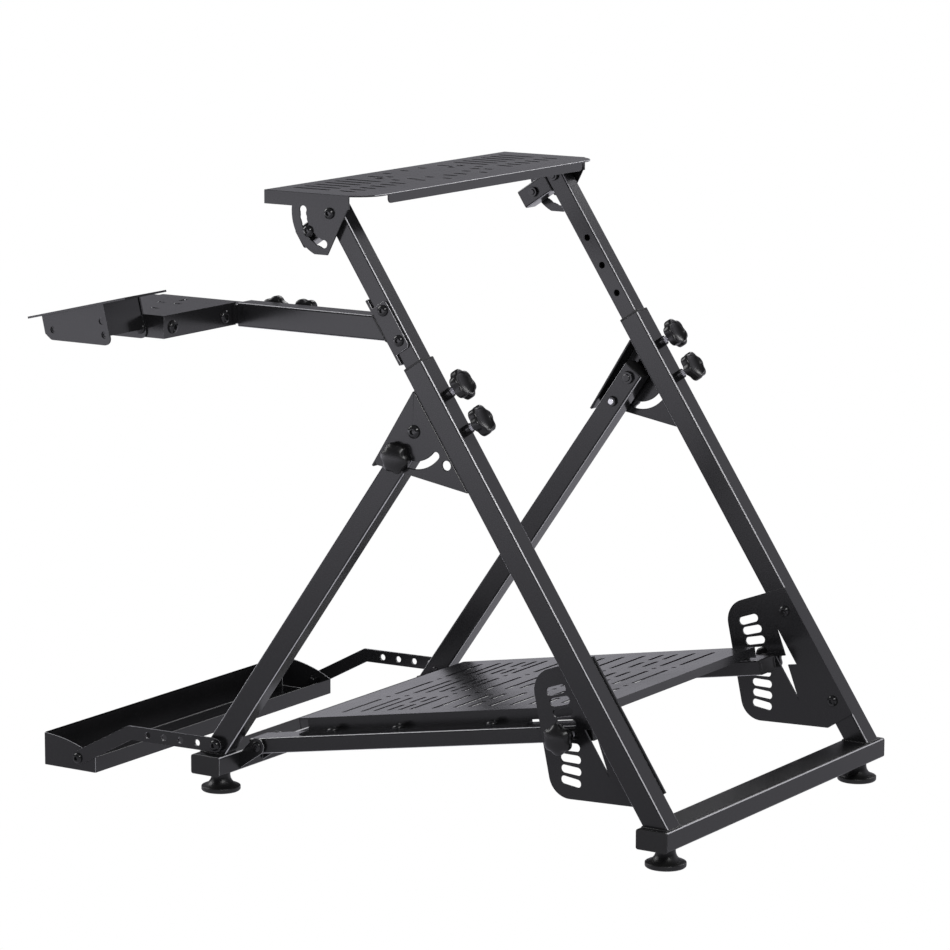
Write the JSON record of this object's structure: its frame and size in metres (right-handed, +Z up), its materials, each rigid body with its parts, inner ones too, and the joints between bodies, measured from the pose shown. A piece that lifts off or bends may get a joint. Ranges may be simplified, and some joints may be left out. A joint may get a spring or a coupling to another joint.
{
  "type": "racing wheel stand",
  "caption": "Folding racing wheel stand of black square tube with slotted wheel plate, tilting pedal deck, side shifter shelf, heel tray and star clamp knobs.",
  "frame": {"origin": "on the floor at the middle of the whole object's box", "axes": "+Z up, +Y away from the driver along the stand's length, +X to the driver's right"},
  "size_m": [0.7832, 0.943, 0.7735],
  "materials": {
    "frame_black": "satin powder coat",
    "bolt_black": "black oxide, semi gloss",
    "plastic_black": "matte",
    "knob_black": "satin moulded",
    "foot_black": "matte moulded"
  },
  "bodies": {
    "main_frame": {"front_crossbar": "frame_black", "front_crossbar_caps": "plastic_black", "front_feet": "foot_black", "main_tube_right": "frame_black", "main_tube_left": "frame_black", "sleeve_collars": "plastic_black", "height_bosses": "bolt_black", "height_knobs": "knob_black", "gusset_right": "frame_black", "gusset_left": "frame_black", "fold_pins": "bolt_black", "fin_right": "frame_black", "fin_left": "frame_black", "pedal_clamps": "knob_black"},
    "rear_frame": {"rear_crossbar": "frame_black", "rear_crossbar_caps": "plastic_black", "rear_feet": "foot_black", "rear_leg_right": "frame_black", "rear_leg_left": "frame_black", "fold_knobs": "knob_black", "tray_pins": "bolt_black", "hinge_bracket_right": "frame_black", "hinge_bracket_left": "frame_black", "hinge_pins": "bolt_black"},
    "pedal_deck": {"pedal_arm_right": "frame_black", "pedal_arm_left": "frame_black", "pedal_plate": "frame_black"},
    "tray": {"heel_tray": "frame_black", "tray_arm_right": "frame_black", "tray_arm_left": "frame_black"},
    "upper_frame": {"inner_tube_right": "frame_black", "inner_tube_left": "frame_black", "tilt_stub_right": "frame_black", "tilt_stub_left": "frame_black", "tilt_pivots": "bolt_black", "tilt_locks": "bolt_black", "shifter_bracket": "frame_black", "shifter_arm": "frame_black", "shifter_knobs": "knob_black"},
    "wheel_mount": {"wheel_plate": "frame_black"},
    "shifter_slide": {"shifter_bar": "frame_black", "shifter_shelf": "frame_black", "shifter_perch": "frame_black"}
  },
  "joints": [
    {"name": "rear_fold", "type": "hinge", "parent": "main_frame", "child": "rear_frame", "pos_m": [-0.10535, 0.10452, 0.49389], "axis": [1, 0, 0], "range_deg": [0, 55]},
    {"name": "pedal_tilt", "type": "hinge", "parent": "rear_frame", "child": "pedal_deck", "pos_m": [-0.10535, -0.15745, 0.06], "axis": [1, 0, 0], "range_deg": [-6.9, 42]},
    {"name": "tray_fold", "type": "hinge", "parent": "rear_frame", "child": "tray", "pos_m": [-0.10535, -0.19554, 0.06412], "axis": [-1, 0, 0], "range_deg": [0, 125]},
    {"name": "height", "type": "slide", "parent": "main_frame", "child": "upper_frame", "axis": [0, -0.5505, 0.8348], "range_m": [0, 0.12]},
    {"name": "wheel_tilt", "type": "hinge", "parent": "upper_frame", "child": "wheel_mount", "pos_m": [-0.10535, -0.0148, 0.7506], "axis": [1, 0, 0], "range_deg": [-39, 39]},
    {"name": "shifter_reach", "type": "slide", "parent": "upper_frame", "child": "shifter_slide", "axis": [0, -1, 0], "range_m": [0, 0.09]}
  ]
}
